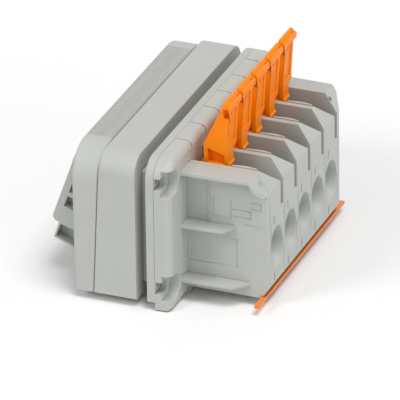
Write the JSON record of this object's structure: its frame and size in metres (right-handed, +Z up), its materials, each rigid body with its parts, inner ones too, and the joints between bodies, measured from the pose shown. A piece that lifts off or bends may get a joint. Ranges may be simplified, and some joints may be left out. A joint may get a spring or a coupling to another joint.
{
  "type": "panel feed-through terminal block",
  "caption": "Lever-operated terminal block that feeds conductors through a panel cut-out, wedged against the panel, with spring entries on its inner side.",
  "frame": {"origin": "middle of the row of poles, on the panel's outer face, level with the underside of the base frame", "axes": "+X along the row of poles, +Y into the panel towards the inner side, +Z up towards the levers"},
  "size_m": [0.0764, 0.0607, 0.055],
  "materials": {
    "shell_plastic": "fine moulded satin, pale grey",
    "frame_plastic": "fine eroded texture, pale grey",
    "lever_plastic": "smooth satin, bright orange",
    "strip_plastic": "smooth satin, orange",
    "tinned_copper": "tin-plated copper",
    "spring_steel": "bright spring steel"
  },
  "bodies": {
    "block": {"base_frame": "frame_plastic", "end_cover_left": "shell_plastic", "end_cover_right": "shell_plastic", "inner_end_cover_left": "shell_plastic", "inner_end_cover_right": "shell_plastic", "retaining_strip": "strip_plastic", "outer_housing_1": "shell_plastic", "clamp_spring_1": "spring_steel", "current_bar_1": "tinned_copper", "inner_housing_1": "shell_plastic", "inner_spring_1": "spring_steel", "outer_housing_2": "shell_plastic", "clamp_spring_2": "spring_steel", "current_bar_2": "tinned_copper", "inner_housing_2": "shell_plastic", "inner_spring_2": "spring_steel", "outer_housing_3": "shell_plastic", "clamp_spring_3": "spring_steel", "current_bar_3": "tinned_copper", "inner_housing_3": "shell_plastic", "inner_spring_3": "spring_steel", "outer_housing_4": "shell_plastic", "clamp_spring_4": "spring_steel", "current_bar_4": "tinned_copper", "inner_housing_4": "shell_plastic", "inner_spring_4": "spring_steel", "outer_housing_5": "shell_plastic", "clamp_spring_5": "spring_steel", "current_bar_5": "tinned_copper", "inner_housing_5": "shell_plastic", "inner_spring_5": "spring_steel"},
    "lever_body_1": {"lever_1": "lever_plastic"},
    "lever_body_2": {"lever_2": "lever_plastic"},
    "lever_body_3": {"lever_3": "lever_plastic"},
    "lever_body_4": {"lever_4": "lever_plastic"},
    "lever_body_5": {"lever_5": "lever_plastic"},
    "clamp": {"clamping_frame": "frame_plastic"},
    "wedge": {"wedge_fork": "frame_plastic"}
  },
  "joints": [
    {"name": "lever_hinge_1", "type": "hinge", "parent": "block", "child": "lever_body_1", "pos_m": [-0.01858, -0.0095, 0.0331], "axis": [1, 0, 0], "range_deg": [0, 57]},
    {"name": "lever_hinge_2", "type": "hinge", "parent": "block", "child": "lever_body_2", "pos_m": [-0.00857, -0.0095, 0.0331], "axis": [1, 0, 0], "range_deg": [0, 57]},
    {"name": "lever_hinge_3", "type": "hinge", "parent": "block", "child": "lever_body_3", "pos_m": [0.00143, -0.0095, 0.0331], "axis": [1, 0, 0], "range_deg": [0, 57]},
    {"name": "lever_hinge_4", "type": "hinge", "parent": "block", "child": "lever_body_4", "pos_m": [0.01142, -0.0095, 0.0331], "axis": [1, 0, 0], "range_deg": [0, 57]},
    {"name": "lever_hinge_5", "type": "hinge", "parent": "block", "child": "lever_body_5", "pos_m": [0.02142, -0.0095, 0.0331], "axis": [1, 0, 0], "range_deg": [0, 57]},
    {"name": "wedge_slide", "type": "slide", "parent": "block", "child": "wedge", "axis": [0, 0, 1], "range_m": [0, 0.016]},
    {"name": "clamp_slide", "type": "slide", "parent": "block", "child": "clamp", "axis": [0, 1, 0], "range_m": [0, 0.00085]}
  ],
  "couplings": [
    {"joint": "clamp_slide", "follows": "wedge_slide", "ratio": 0.053}
  ]
}
